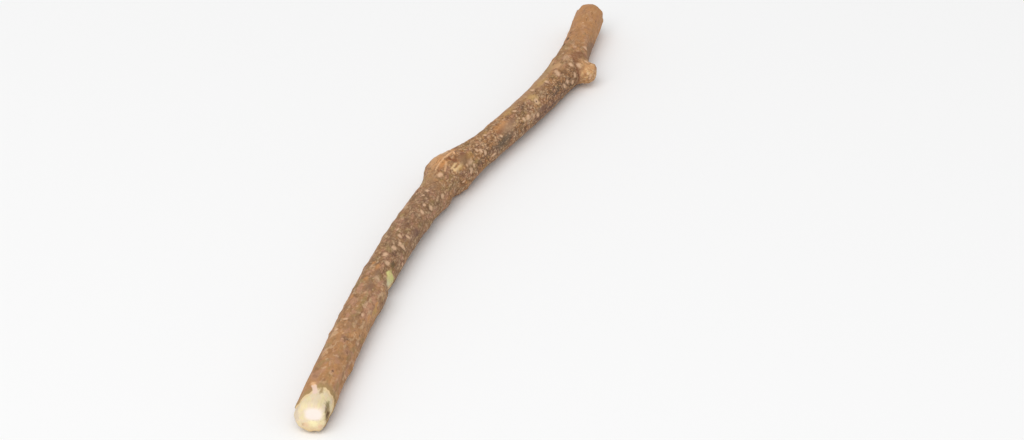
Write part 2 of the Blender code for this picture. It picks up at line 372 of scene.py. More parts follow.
# Colours as they look on a screen, from 0 to 255
GREY_BROWN = (142, 110, 80)
ORANGE_TAN = (186, 134, 86)
PINK_TAN = (184, 136, 108)
OLIVE_TAN = (156, 130, 82)
DARK_BROWN = (92, 62, 40)
DEEP_BROWN = (74, 52, 42)
RED_BROWN = (124, 72, 46)
RUST = (202, 140, 82)
PALE_TAN = (222, 188, 150)
PALE_PINK = (216, 178, 144)
CREST_TAN = (232, 184, 138)
NODE_TAN = (202, 156, 112)
SMOOTH_TAN = (176, 140, 108)
CREAM = (230, 194, 142)
MUSTARD = (188, 148, 84)
OLIVE = (128, 112, 66)
PLUM = (126, 92, 76)
SLATE = (112, 96, 76)
LICHEN = (214, 208, 134)
LICHEN_HEART = (190, 198, 104)
LICHEN_PALE = (210, 206, 168)
STUB_TAN = (202, 152, 104)
OLIVE_EDGE = (166, 138, 92)
NOTCH_BROWN = (104, 76, 36)
# The white of the painted highlight on the whittled face
HIGHLIGHT_WHITE = (242, 228, 218)
WOOD_CREAM = (226, 208, 178)
WOOD_YELLOW = (230, 214, 168)
WOOD_BRIGHT = (244, 232, 182)
WOOD_GREY = (208, 190, 168)
WOOD_PINK = (236, 204, 176)
WOOD_ROSE = (226, 186, 152)
TONGUE_PINK = (234, 204, 188)
WOOD_TAN = (222, 192, 146)
WOOD_STREAK = (214, 188, 140)

# Soft patches of other colours on the bark, some of them painted shade: place, turn, half length,
# half width, strength, colour
PATCHES = (
    (1.3, 162, 0.8, 0.9, 1.2, NOTCH_BROWN),
    (2.7, 152, 0.9, 0.85, 0.9, OLIVE),
    (4.6, 106, 0.8, 0.3, 1.2, OLIVE_EDGE),
    (5.6, 92, 0.6, 0.4, 1.0, OLIVE_EDGE),
    (6.2, 70, 0.5, 0.45, 0.9, CREST_TAN),
    (20.0, 112, 1.0, 0.8, 0.5, DARK_BROWN),
    # Painted shade: the wide patches along the top between places 20 and 70 darken it
    (25.0, 102, 5.0, 1.2, 0.5, GREY_BROWN),
    (27.0, 164, 6.0, 1.0, 0.5, NODE_TAN),
    (28.8, 156, 0.9, 0.35, 1.0, RUST),
    (32.2, 168, 1.2, 0.5, 0.9, MUSTARD),
    (32.9, 54, 0.8, 0.4, 0.8, RUST),
    (33.4, 158, 0.6, 0.4, 0.9, RUST),
    (38.5, 76, 0.7, 0.4, 0.6, RUST),
    (39.2, 118, 0.6, 0.6, 0.7, PALE_TAN),
    (36.2, 110, 1.2, 1.0, 0.6, PLUM),
    (41.0, 104, 1.2, 0.7, 0.6, PLUM),
    # Painted shade along the top
    (37.5, 96, 5.0, 1.2, 0.4, GREY_BROWN),
    (38.0, 164, 2.6, 1.0, 0.5, NODE_TAN),
    (41.9, 196, 0.8, 0.6, 1.1, CREAM),
    (45.3, 142, 0.8, 0.6, 0.6, DARK_BROWN),
    (42.5, 94, 0.9, 0.45, 0.7, RUST),
    (41.8, 176, 0.9, 0.7, 1.5, LICHEN_PALE),
    (42.6, 158, 0.75, 1.0, 1.8, LICHEN),
    (42.7, 171, 0.6, 0.4, 1.3, LICHEN_HEART),
    (43.6, 74, 0.6, 0.4, 0.8, RUST),
    (44.9, 140, 1.0, 0.4, 0.7, OLIVE),
    (47.9, 124, 1.0, 0.6, 0.8, PLUM),
    (53.9, 128, 1.2, 0.35, 0.8, PLUM),
    (56.5, 152, 2.5, 0.8, 0.7, PLUM),
    (57.7, 162, 1.0, 0.5, 0.6, DARK_BROWN),
    # Painted shade along the top
    (57.5, 104, 4.0, 1.2, 0.5, PLUM),
    (66.5, 108, 4.0, 1.2, 0.45, PLUM),
    (71.5, 104, 2.4, 1.1, 0.55, GREY_BROWN),
    (74.6, 74, 2.0, 1.1, 0.4, SMOOTH_TAN),
    (72.6, 50, 2.2, 1.2, 0.6, OLIVE_TAN),
    (65.0, 40, 5.0, 1.2, 0.5, SMOOTH_TAN),
    (55.0, 42, 5.0, 1.2, 0.5, SMOOTH_TAN),
    (77.4, 56, 1.3, 0.7, 0.7, NODE_TAN),
    (79.6, 46, 1.8, 0.9, 1.0, NODE_TAN),
    (79.0, 67, 1.7, 0.5, 0.7, RUST),
    (82.2, 42, 1.4, 0.9, 1.2, PALE_TAN),
    (83.4, 62, 1.0, 0.4, 0.8, RUST),
    # Painted shade: these two red-brown patches darken the hollows beside the crest
    (80.5, 84, 0.6, 0.45, 1.1, RED_BROWN),
    (80.3, 100, 0.6, 0.35, 0.9, RED_BROWN),
    (83.0, 104, 1.5, 1.0, 0.6, RED_BROWN),
    (81.8, 118, 1.3, 0.9, 1.0, GREY_BROWN),
    (78.6, 110, 1.1, 0.2, 1.1, CREAM),
    (79.2, 123, 1.2, 0.2, 1.2, CREAM),
    (77.9, 119, 0.3, 0.3, 0.9, CREAM),
    (79.5, 131, 0.9, 0.2, 0.9, MUSTARD),
    (78.9, 144, 1.1, 0.4, 0.7, PLUM),
    (79.0, 90, 1.4, 0.5, 0.7, ORANGE_TAN),
    (77.4, 84, 1.6, 0.35, 0.8, RUST),
    (84.4, 116, 1.6, 0.5, 0.6, MUSTARD),
    (82.9, 138, 0.9, 0.35, 0.9, PALE_PINK),
    (84.1, 148, 1.8, 0.3, 0.8, OLIVE_TAN),
    (92.5, 84, 2.0, 0.5, 0.5, MUSTARD),
    (95.3, 122, 1.3, 0.4, 0.8, RED_BROWN),
    (94.8, 164, 4.0, 1.2, 0.9, SLATE),
    (96.5, 102, 2.8, 0.8, 0.6, RUST),
    (97.6, 128, 2.2, 0.9, 1.0, SMOOTH_TAN),
    (100.0, 122, 1.8, 0.5, 0.7, PLUM),
    (101.5, 80, 2.2, 0.5, 0.6, MUSTARD),
    (109.0, 100, 1.8, 0.8, 0.6, MUSTARD),
    (109.0, 122, 1.0, 0.9, 0.7, CREAM),
    (107.0, 50, 9.0, 1.8, 0.7, SMOOTH_TAN),
    (117.0, 48, 6.0, 1.6, 0.7, SMOOTH_TAN),
    (109.5, 166, 1.8, 0.6, 0.9, PLUM),
    (104.5, 156, 3.0, 0.9, 0.5, PALE_TAN),
    (115.4, 84, 2.0, 0.6, 0.8, MUSTARD),
    (122.6, 88, 1.8, 1.0, 0.9, NODE_TAN),
    (121.5, 64, 3.0, 0.9, 0.5, OLIVE_TAN),
    # Painted shade: these two darken the right edge near the far end
    (135.5, 166, 3.0, 1.4, 1.1, GREY_BROWN),
    (136.5, 186, 3.5, 1.2, 1.1, PLUM),
    (139.5, 44, 2.5, 0.9, 0.6, PLUM),
    # Painted shade along the right edge
    (112.0, 194, 9.0, 0.9, 0.8, PLUM),
)

# Soft patches on the whittled face: left and up from the stem's axis, half width, half height, strength
# and colour
FACE_PATCHES = (
    (-0.35, -0.66, 0.9, 0.5, 1.4, WOOD_BRIGHT),
    (0.7, -0.9, 0.6, 0.4, 1.1, WOOD_ROSE),
    (-1.56, -1.0, 0.4, 0.4, 1.2, WOOD_ROSE),
    (-1.9, 0.0, 0.35, 0.8, 0.8, WOOD_YELLOW),
    (1.3, -0.9, 0.25, 0.3, 0.5, OLIVE_EDGE),
    # Painted shade: the grey patch at the face's left edge and the tan one along its bottom
    (2.4, 0.5, 0.5, 1.4, 1.1, WOOD_GREY),
    (-0.5, -2.1, 1.7, 0.5, 1.0, WOOD_TAN),
)

# Where the bark is sooty, and its small dark pits. The long spot along the right edge, at turn 192, is
# painted shade, and the spots on the right side from place 88 to 122 are partly painted shade.
SOOT_AND_SHADE = (
    (45.7, 140, 1.6, 1.0, 0.7),
    (48.0, 124, 1.6, 0.9, 0.7),
    (88.5, 168, 3.0, 1.2, 0.7),
    (95.0, 166, 5.0, 1.2, 0.7),
    (104.6, 106, 2.2, 0.9, 0.9),
    (115.3, 150, 5.0, 1.5, 1.0),
    (121.5, 168, 4.0, 1.6, 0.75),
    (121.8, 140, 2.0, 0.8, 0.6),
    # Painted shade along the right edge
    (115.0, 192, 12.0, 0.8, 1.0),
)
PITS = (
    (10.5, 114, 0.4, 0.3, 0.9),
    (20.2, 116, 0.35, 0.3, 0.8),
    (23.1, 152, 0.35, 0.25, 1.2),
    (109.1, 126, 0.3, 0.2, 1.2),
    (132.9, 55, 0.7, 0.3, 1.4),
    (135.7, 57, 0.8, 0.35, 1.4),
    (138.5, 118, 0.25, 0.18, 0.9),
    (140.5, 104, 0.25, 0.18, 0.8),
)


def smooth_curve(knots):
    """A function through the knots whose bend changes without a jump: a natural cubic spline."""
    place, value = np.array(knots, float).T
    gap = np.diff(place)
    slope = np.diff(value) / gap
    count = len(place)
    system = np.eye(count)
    change = np.zeros(count)
    for i in range(1, count - 1):
        system[i, i - 1 : i + 2] = gap[i - 1], 2 * (gap[i - 1] + gap[i]), gap[i]
        change[i] = 6 * (slope[i] - slope[i - 1])
    bend = np.linalg.solve(system, change)

    def at(x):
        i = np.clip(np.searchsorted(place, x) - 1, 0, count - 2)
        before = x - place[i]
        after = place[i + 1] - x
        cubic = (bend[i] * after**3 + bend[i + 1] * before**3) / (6 * gap[i])
        start = (value[i] / gap[i] - bend[i] * gap[i] / 6) * after
        end = (value[i + 1] / gap[i] - bend[i + 1] * gap[i] / 6) * before
        return cubic + start + end

    return at


SIDEWAYS_AT = smooth_curve(SIDEWAYS)
HEIGHT_AT = smooth_curve(HEIGHT)
BARK_EDGE_AT = smooth_curve(BARK_EDGE)


def axis_point(x):
    x = np.asarray(x, float)
    return np.stack([x, SIDEWAYS_AT(x), HEIGHT_AT(x)], axis=-1)


def axis_frame(x):
    """The axis's direction at x, with the directions to its left and upwards that are square to it."""
    x = np.asarray(x, float)
    along = axis_point(x + DIRECTION_STEP) - axis_point(x - DIRECTION_STEP)
    along /= np.linalg.norm(along, axis=-1, keepdims=True)
    left = np.stack([-along[..., 1], along[..., 0], np.zeros_like(along[..., 0])], axis=-1)
    left /= np.linalg.norm(left, axis=-1, keepdims=True)
    return along, left, np.cross(along, left)


def smooth_step(value, low, high):
    share = np.clip((value - low) / (high - low), 0, 1)
    return share * share * (3 - 2 * share)


def hump(x, place, half_length):
    return np.exp(-(((x - place) / half_length) ** 2))


def level_along(x, knots):
    """A value that is given at some places along the stem and runs evenly between them."""
    places, values = zip(*knots)
    return np.interp(x, places, values)


def round_the_stem(turn, centre_degrees):
    """How far round the stem a turn lies from a centre, in millimetres of bark."""
    angle = turn - np.radians(centre_degrees)
    return STEM_RADIUS * np.arctan2(np.sin(angle), np.cos(angle))


def spots(x, turn, marks):
    """Soft oval spots, each given by its place, turn, half length, half width and strength."""
    total = 0
    for place, centre, half_length, half_width, strength in marks:
        across = hump(round_the_stem(turn, centre), 0, half_width)
        total = np.maximum(total, strength * hump(x, place, half_length) * across)
    return total


def waves_round(angle, waves):
    return sum(height * np.sin(count * angle + phase) for count, height, phase in waves)


def swellings(x):
    return sum(height * hump(x, place, half_length) for place, half_length, height in SWELLINGS)


def lumps(x, turn, marks):
    relief = 0
    for place, centre, half_length, half_width, height in marks:
        across = round_the_stem(turn, centre)
        relief = relief + height * hump(x, place, half_length) * hump(across, 0, half_width)
    return relief


def bark_ridges(x, turn):
    """Ridges that wander along the stem and fade in and out, on a stem that isn't quite round."""
    wander = sum(size * np.sin(x / length + phase) for length, size, phase in RIDGE_WAVES)
    fade = (1 + np.sin(x / RIDGE_FADE_LENGTH + 2 * turn)) / 2
    strength = RIDGE_LEAST_SHARE + (1 - RIDGE_LEAST_SHARE) * fade
    ridges = RIDGE_HEIGHT * strength * np.sin(RIDGES * turn + wander)
    return ridges + OVAL * np.cos(2 * turn - x / OVAL_TWIST_LENGTH)


def distance_to_line(x, turn, line):
    """Distance over the bark to a smooth line through the given places and turns."""
    knots = range(len(line))
    steps = np.linspace(0, knots[-1], LINE_STEPS)
    places, turns = (smooth_curve(list(zip(knots, values)))(steps) for values in zip(*line))
    near = np.full(x.shape, np.inf)
    for place, centre in zip(places, turns):
        near = np.minimum(near, np.hypot(x - place, round_the_stem(turn, centre)))
    return near


def scar_crest(x, turn):
    """The torn edge of bark on the first node, with its lip and the fold beside it."""
    near = distance_to_line(x, turn, CREST)
    crest = CREST_HEIGHT * hump(near, 0, CREST_HALF_WIDTH)
    lip = CREST_LIP_HEIGHT * hump(near, 0, CREST_LIP_HALF_WIDTH)
    fold = FOLD_HEIGHT * hump(distance_to_line(x, turn, FOLD), 0, FOLD_HALF_WIDTH)
    return crest + lip + fold


def pad_marks():
    """Places, turns and sizes of the pads under the larger pores, drawn with a fixed seed."""
    random = np.random.default_rng(PAD_SEED)
    marks = []
    for i in range(PADS):
        place = PADS_START + (PADS_END - PADS_START) * (i + random.random()) / PADS
        turn = 360 * random.random()
        marks.append((place, turn, random.uniform(PAD_SMALLEST, PAD_LARGEST)))
    return marks


PAD_MARKS = pad_marks()


def pads(x, turn):
    relief = 0
    for place, centre, size in PAD_MARKS:
        along = hump(x, place, PAD_HALF_LENGTH * size)
        across = hump(round_the_stem(turn, centre), 0, PAD_HALF_WIDTH * size)
        relief = np.maximum(relief, PAD_HEIGHT * size * along * across)
    return relief


def past_bark_edge(x, turn):
    """How far a place is past the bark's edge, in millimetres: less than 0 where the wood is bare."""
    return x - BARK_EDGE_AT(np.degrees(turn) % 360) - waves_round(turn, BARK_EDGE_WAVES)


def tongue(x, turn):
    return hump(distance_to_line(x, turn, TONGUE), 0, TONGUE_HALF_WIDTH)


def bare_wood(x, turn):
    """The share of bark that the knife took off: 1 on the bare wood, 0 on the bark."""
    half = BARK_EDGE_LENGTH / 2
    return np.maximum(1 - smooth_step(past_bark_edge(x, turn), -half, half), tongue(x, turn))


def notch(x, turn):
    """The torn notch in the whittled edge, from 0 to 1."""
    across = hump(round_the_stem(turn, NOTCH_TURN), 0, NOTCH_HALF_WIDTH)
    return hump(x, NOTCH_PLACE, NOTCH_HALF_LENGTH) * across


def knife_cuts(turn):
    """How far the flat knife cuts go below a round edge."""
    within = np.mod(turn * KNIFE_CUTS / (2 * np.pi), 1) - 0.5
    return KNIFE_CUT_DEPTH * (1 - 4 * within**2)


def quarter_round(distance, length, depth):
    """How much a rounded edge takes away at a distance from the end face."""
    share = np.clip(1 - distance / length, 0, 1)
    return depth * (1 - np.sqrt(1 - share**2))


def stem_radius(x, turn):
    relief = lumps(x, turn, LUMPS + HOLLOWS) + bark_ridges(x, turn) + scar_crest(x, turn) + pads(x, turn)
    bark = STEM_RADIUS + swellings(x) + relief
    pared = (PARED_DEPTH + knife_cuts(turn)) * bare_wood(x, turn) + NOTCH_DEPTH * notch(x, turn)
    face_edge = quarter_round(x, FACE_ROUND_LENGTH, FACE_ROUND_DEPTH)
    sawn_edge = quarter_round(LENGTH - x, SAWN_ROUND, SAWN_ROUND)
    return bark - pared - face_edge - sawn_edge


def stem_points(x, turn, share=1.0):
    """Points of the stem: its side where the share is 1, and its end faces where it is less."""
    along, left, up = axis_frame(x)
    radius = share * stem_radius(x, turn)
    points = axis_point(x) + radius[..., None] * (
        np.cos(turn)[..., None] * left + np.sin(turn)[..., None] * up
    )
    height = radius * np.sin(turn)
    lean = FACE_LEAN * (1 - smooth_step(x, 0, FACE_LEAN_REACH)) * height
    lower_cut = LOWER_CUT_SLOPE * np.maximum(0, -height - LOWER_CUT_START)
    lower_cut = lower_cut * (1 - smooth_step(x, 0, LOWER_CUT_REACH))
    bulge = FACE_BULGE * (1 - share**2) * (x < LENGTH / 2)
    return points + (lean + lower_cut - bulge)[..., None] * along


def stub_axes():
    """The stub's direction out of the stem, and the two directions square to it."""
    along, left, up = axis_frame(STUB_PLACE)
    outward = cos(radians(STUB_TURN)) * left + sin(radians(STUB_TURN)) * up + STUB_LEAN * along
    outward /= np.linalg.norm(outward)
    over = np.cross(outward, along)
    over /= np.linalg.norm(over)
    return outward, np.cross(over, outward), over


def stub_head(reach, angle):
    """Points of the stub's rounded head, from its tip out to its neck."""
    outward, beside, over = stub_axes()
    swing = reach / STUB_HEAD_REACH * np.pi / 2
    size = np.sin(swing) * (1 + waves_round(-angle, STUB_WAVES))
    rise = np.cos(swing)
    height = STUB_NECK + (STUB_DOME + STUB_DOME_FULLNESS) * rise - STUB_DOME_FULLNESS * rise**3
    to_side = (STUB_HALF_WIDTH * size * np.cos(angle))[..., None] * beside
    to_top = (-STUB_HALF_HEIGHT * size * np.sin(angle))[..., None] * over
    return axis_point(STUB_PLACE) + height[..., None] * outward + to_side + to_top


def stub_foot(reach, angle):
    """Points of the stub's foot, which runs from its neck out onto the stem without a crease."""
    span = STUB_FOOT_REACH - STUB_HEAD_REACH
    step = DIRECTION_STEP

    def on_stem(distance):
        x = STUB_PLACE + distance * np.cos(angle)
        return stem_points(x, np.radians(STUB_TURN) + distance * np.sin(angle) / STEM_RADIUS)

    neck = np.full_like(angle, STUB_HEAD_REACH)
    start = stub_head(neck, angle)
    start_pull = (start - stub_head(neck - step, angle)) / step * span
    end = on_stem(STUB_FOOT_REACH)
    end_pull = (on_stem(STUB_FOOT_REACH + step) - on_stem(STUB_FOOT_REACH - step)) / (2 * step) * span
    t = ((reach - STUB_HEAD_REACH) / span)[..., None]
    first = (2 * t**3 - 3 * t**2 + 1) * start + (t**3 - 2 * t**2 + t) * start_pull
    return first + (3 * t**2 - 2 * t**3) * end + (t**3 - t**2) * end_pull


def stub_reach(x, turn):
    """Distance and direction over the bark from the middle of the stub's foot."""
    along = x - STUB_PLACE
    across = round_the_stem(turn, STUB_TURN)
    return np.hypot(along, across), np.arctan2(across, along)


def base_points(x, turn, share):
    """The smooth form: the stem, its end faces, and the stub drawn out of its side."""
    points = stem_points(x, turn, share)
    reach, angle = stub_reach(x, turn)
    head = reach < STUB_HEAD_REACH
    foot = (reach >= STUB_HEAD_REACH) & (reach < STUB_FOOT_REACH)
    points[head] = stub_head(reach[head], angle[head])
    points[foot] = stub_foot(reach[foot], angle[foot])
    return points


def stem_row_places():
    """Places of the rows along the stem, closer where the detail is finer."""
    fine = np.linspace(0, LENGTH, 20 * STEM_ROWS)
    closeness = 1 + sum(more * hump(fine, place, half_length) for place, half_length, more in CLOSE_ROWS)
    travelled = np.concatenate([[0], np.cumsum((closeness[1:] + closeness[:-1]) / 2)])
    return np.interp(np.linspace(0, travelled[-1], STEM_ROWS), travelled, fine)


def grid():
    """Place, turn and share of the radius for each row and side, from one face over the stem to the other."""
    shares = np.arange(1, FACE_ROWS + 1) / (FACE_ROWS + 1)
    places = np.concatenate([np.zeros(FACE_ROWS), stem_row_places(), np.full(FACE_ROWS, LENGTH)])
    shares = np.concatenate([shares, np.ones(STEM_ROWS), shares[::-1]])
    turns = 2 * np.pi * np.arange(SIDES) / SIDES
    return np.meshgrid(places, turns, indexing="ij") + [np.repeat(shares[:, None], SIDES, axis=1)]


def unrolled(x, turn, share):
    """Coordinates of the bark as on a straight stem, which its grain and spots follow."""
    radius = STEM_RADIUS * share
    return np.stack([x, radius * np.cos(turn), radius * np.sin(turn)], axis=-1)


def rough(place, grain):
    """Noise of about -1 to 1: its lumps' size along the stem and across, its octaves and its own shift."""
    along, across, octaves, shift = grain
    scaled = place / (along, across, across) + shift
    values = [noise.fractal(point, 1.0, 2.0, octaves) for point in scaled.reshape(-1, 3).tolist()]
    return np.array(values).reshape(place.shape[:-1])


def speckle(x, turn):
    return level_along(x, SPECKLE) * (1 - spots(x, turn, CALM))


def small_pore_marks():
    """The smaller pores: place, turn, half length, half width and strength of each."""
    random = np.random.default_rng(SMALL_PORE_SEED)
    marks = []
    while len(marks) < SMALL_PORES:
        place = random.uniform(SMALL_PORES_START, LENGTH - 1)
        turn = random.uniform(0, 360)
        half_length = random.uniform(*SMALL_PORE_HALF_LENGTHS)
        half_width = random.uniform(*SMALL_PORE_HALF_WIDTHS)
        strength = random.uniform(*SMALL_PORE_STRENGTHS)
        room = level_along(place, PORE_CROWDING) * (1 - spots(place, np.radians(turn), CALM))
        if random.random() < room:
            marks.append((place, turn, half_length, half_width, strength))
    return marks


def pores(points, x, turn):
    """How much of a pore there is at each point, and how much of the hollow line round one."""
    amount = np.zeros_like(x)
    rim = np.zeros_like(x)
    ragged = PORE_RAGGED * rough(unrolled(x, turn, 1.0), PORE_RAGS)
    whole = [(*mark, 1.0) for mark in PORES]
    for place, centre, half_length, half_width, strength in whole + small_pore_marks():
        middle = base_points(np.array([[place]]), np.radians([[centre]]), np.ones((1, 1)))[0, 0]
        rows = np.abs(x[:, 0] - place) < 2 * half_length + PORE_NEAR
        offset = points[rows] - middle
        lengthwise = offset @ axis_frame(place)[0]
        across = np.sqrt(np.maximum((offset**2).sum(axis=-1) - lengthwise**2, 0))
        distance = np.hypot(lengthwise / half_length, across / half_width) + ragged[rows]
        amount[rows] = np.maximum(amount[rows], strength * (1 - smooth_step(distance, *PORE_EDGE)))
        rim[rows] = np.maximum(rim[rows], strength * hump(distance, PORE_EDGE[1], 0.3))
    return amount, rim


def bark_relief(points, x, turn, share):
    """Height of the bark's fine relief, with the shares of pore, pore's rim and crack at each point."""
    place = bark_place(points, x, turn, share)
    pore, rim = pores(points, x, turn)
    at_node = hump(x, *NODE)
    rougher = np.maximum(at_node, smooth_step(-stub_reach(x, turn)[0], -5.5, -2.5))
    cracked = smooth_step(rough(place, CRACKED_AREAS) + 0.3 * speckle(x, turn), 0.0, 0.35)
    crack = (1 - smooth_step(abs(rough(place, CRACKS)), 0.0, 0.1)) * cracked
    folds = (1 - smooth_step(abs(rough(place, FOLDS)), 0.0, 0.16)) * at_node
    bumps = rough(place, BUMPS)
    crumbs = rough(place, CRUMBS)
    relief = FIBRE_HEIGHT * rough(place, FIBRES) + BUMP_HEIGHT * bumps + CRUMB_HEIGHT * crumbs
    relief *= SMOOTHEST_SHARE + (1 - SMOOTHEST_SHARE) * np.minimum(2 * speckle(x, turn), 1)
    relief += rougher * (ROUGH_BUMP_HEIGHT * bumps + ROUGH_CRUMB_HEIGHT * crumbs)
    relief += FOLDS_HEIGHT * folds - CRACK_DEPTH * crack + PORE_HEIGHT * pore - PORE_RIM_DEPTH * rim
    return relief, pore, rim, crack


def wood_relief(x, turn, share):
    """Fine relief of the cut wood: knife marks on the whittled end and saw marks on the other."""
    place = unrolled(x, turn, share)
    grain = rough(place, WOOD_GRAIN)
    knife = rough(place, KNIFE_MARKS)
    saw = np.sin(2 * np.pi * (place[..., 1] + 0.4 * place[..., 2]) / SAW_MARK_GAP)
    whittled = WOOD_GRAIN_HEIGHT * grain + KNIFE_MARK_HEIGHT * knife
    return np.where(x < LENGTH / 2, whittled, WOOD_GRAIN_HEIGHT * grain + SAW_MARK_HEIGHT * saw)


def on_cut_face(x, share):
    return 1 - smooth_step(share, 0.995, 1.0) * np.ones_like(x)


def make_mesh(name, points):
    """A closed mesh from the grid's points, with one vertex in the middle of each end face."""
    rows = len(points)
    start_tip = rows * SIDES
    corners = np.arange(rows * SIDES).reshape(rows, SIDES)
    beside = np.roll(corners, -1, axis=1)
    quads = np.stack([corners[:-1], beside[:-1], beside[1:], corners[1:]], axis=-1).reshape(-1, 4)
    faces = quads[:, ::-1].tolist()
    faces += [(start_tip, int(a), int(b)) for a, b in zip(corners[0], beside[0])]
    faces += [(start_tip + 1, int(b), int(a)) for a, b in zip(corners[-1], beside[-1])]
    mesh = bpy.data.meshes.new(name)
    mesh.from_pydata(all_round(points).tolist(), [], faces)
    mesh.validate()
    mesh.shade_smooth()
    return mesh


def all_round(values):
    """The grid's values as one list, with the mean of its first and last rows for the two tips."""
    tips = np.stack([values[0].mean(axis=0), values[-1].mean(axis=0)])
    return np.concatenate([values.reshape(-1, *values.shape[2:]), tips])


def normals_of(mesh):
    normals = np.empty(len(mesh.vertices) * 3)
    mesh.vertex_normals.foreach_get("vector", normals)
    return normals.reshape(-1, 3)


def keep_number(mesh, name, values):
    mesh.attributes.new(name, "FLOAT", "POINT").data.foreach_set("value", all_round(values).ravel())


def keep_place(mesh, name, values):
    mesh.attributes.new(name, "FLOAT_VECTOR", "POINT").data.foreach_set("vector", all_round(values).ravel())


def tint(x, turn, share):
    """The mixed colour of the soft patches at each point, and how much of it shows."""
    colour = np.zeros((*x.shape, 3))
    cover = np.zeros_like(x)
    radius = share * stem_radius(x, turn)
    left, up = radius * np.cos(turn), radius * np.sin(turn)
    for place, centre, half_length, half_width, strength, own in PATCHES:
        part = strength * hump(x, place, half_length) * hump(round_the_stem(turn, centre), 0, half_width)
        colour += part[..., None] * display(*own)[:3]
        cover += part
    for to_left, above, half_width, half_height, strength, own in FACE_PATCHES:
        part = strength * hump(left, to_left, half_width) * hump(up, above, half_height) * (x < FACE_REACH)
        colour += part[..., None] * display(*own)[:3]
        cover += part
    return colour / np.maximum(cover, 1e-9)[..., None], np.minimum(cover, 1.5)


def bark_place(points, x, turn, share):
    """Coordinates that the colours and grain follow: those of a straight stem, and the stub's own on it."""
    place = unrolled(x, turn, share)
    along, left, up = axis_frame(STUB_PLACE)
    offset = points - axis_point(STUB_PLACE)
    own = np.stack([offset @ along + STUB_PLACE, offset @ left, offset @ up], axis=-1)
    on_stub = 1 - smooth_step(stub_reach(x, turn)[0], STUB_HEAD_REACH, STUB_FOOT_REACH)
    return place + on_stub[..., None] * (own - place)


def face_highlight(x, turn, share):
    """The painted highlight in the middle of the whittled face, a square with very round corners."""
    left, up, half_width, half_height = FACE_HIGHLIGHT
    radius = share * stem_radius(x, turn)
    across = abs(radius * np.cos(turn) - left) / half_width
    upwards = abs(radius * np.sin(turn) - up) / half_height
    distance = (across**FACE_HIGHLIGHT_SQUARENESS + upwards**FACE_HIGHLIGHT_SQUARENESS) ** (1 / FACE_HIGHLIGHT_SQUARENESS)
    return (1 - smooth_step(distance, 0.65, 1.25)) * (x < FACE_REACH)


def stub_share(x, turn):
    """The share of the stub's head, and of the ring of painted shade round its foot, at each point."""
    reach, angle = stub_reach(x, turn)
    return 1 - smooth_step(reach, 1.8, 3.6), hump(reach, 3.3, 0.4)


def build_stick():
    """The stick's mesh, with the numbers that its material reads from its points."""
    x, turn, share = grid()
    points = base_points(x, turn, share)
    mesh = make_mesh("vine_stick", points)
    wood = np.maximum(bare_wood(x, turn), on_cut_face(x, share))
    bark_height, pore, rim, crack = bark_relief(points, x, turn, share)
    height = (1 - wood) * bark_height + wood * wood_relief(x, turn, share)
    normals = normals_of(mesh)[:-2].reshape(points.shape)
    moved = all_round(points + height[..., None] * normals) - MIDDLE
    low, high = np.array(cad_box) / MM
    moved = np.clip(moved, low, high)
    mesh.vertices.foreach_set("co", (moved * MM).ravel())
    mesh.update()
    tint_colour, tint_cover = tint(x, turn, share)
    head, foot = stub_share(x, turn)
    keep_place(mesh, "bark_place", bark_place(points, x, turn, share))
    keep_place(mesh, "tint", tint_colour)
    numbers = {
        "tint_cover": tint_cover,
        "wood": wood,
        "past_edge": np.clip(past_bark_edge(x, turn), -4, 4),
        "tongue": tongue(x, turn),
        # The painted highlight in the middle of the whittled face
        "face_highlight": face_highlight(x, turn, share),
        "notch": notch(x, turn),
        "pore": pore,
        "rim": rim,
        "pit": spots(x, turn, PITS),
        "crack": crack,
        "warmth": level_along(x, WARMTH),
        "speckle": speckle(x, turn),
        "mottle": level_along(x, MOTTLE),
        # Sooty spots, with painted shade along the right side
        "soot_and_shade": spots(x, turn, SOOT_AND_SHADE),
        # The crest's lip, painted pale as a highlight, and the reddish band of painted shade beside it
        "crest": hump(distance_to_line(x, turn, CREST), 0, CREST_LIP_HALF_WIDTH),
        "crest_painted_shade": hump(distance_to_line(x, turn, CREST_PAINTED_SHADE), 0, CREST_PAINTED_SHADE_HALF_WIDTH),
        "fold": hump(distance_to_line(x, turn, FOLD), 0, FOLD_HALF_WIDTH),
        "stub": head,
        # The ring of painted shade round the stub's foot
        "stub_foot": foot,
    }
    for name, values in numbers.items():
        keep_number(mesh, name, values)
    body = bpy.data.objects.new("vine_stick", mesh)
    bpy.context.scene.collection.objects.link(body)
    return body


def display(red, green, blue):
    """A colour given as it looks on a screen, from 0 to 255, as the shader's own numbers."""
    shares = np.array([red, green, blue]) / 255
    linear = np.where(shares < 0.04045, shares / 12.92, ((shares + 0.055) / 1.055) ** 2.4)
    return (*linear.tolist(), 1.0)


def add(tree, kind, settings=(), **inputs):
    """A shader node with its settings and its inputs, each a number or another node's output."""
    made = tree.nodes.new("ShaderNode" + kind)
    for name, value in dict(settings).items():
        setattr(made, name, value)
    for name, value in inputs.items():
        socket = made.inputs[name.replace("_", " ")]
        if isinstance(value, bpy.types.NodeSocket):
            tree.links.new(value, socket)
        else:
            socket.default_value = value
    return made


def stored(tree, name):
    return add(tree, "Attribute", {"attribute_name": name}).outputs["Fac"]


def mix(tree, factor, below, above, blend_type="MIX"):
    """One colour laid over another."""
    made = tree.nodes.new("ShaderNodeMix")
    made.data_type = "RGBA"
    made.blend_type = blend_type
    for socket, value in ((made.inputs[0], factor), (made.inputs[6], below), (made.inputs[7], above)):
        if isinstance(value, bpy.types.NodeSocket):
            tree.links.new(value, socket)
        else:
            socket.default_value = value
    return made.outputs[2]


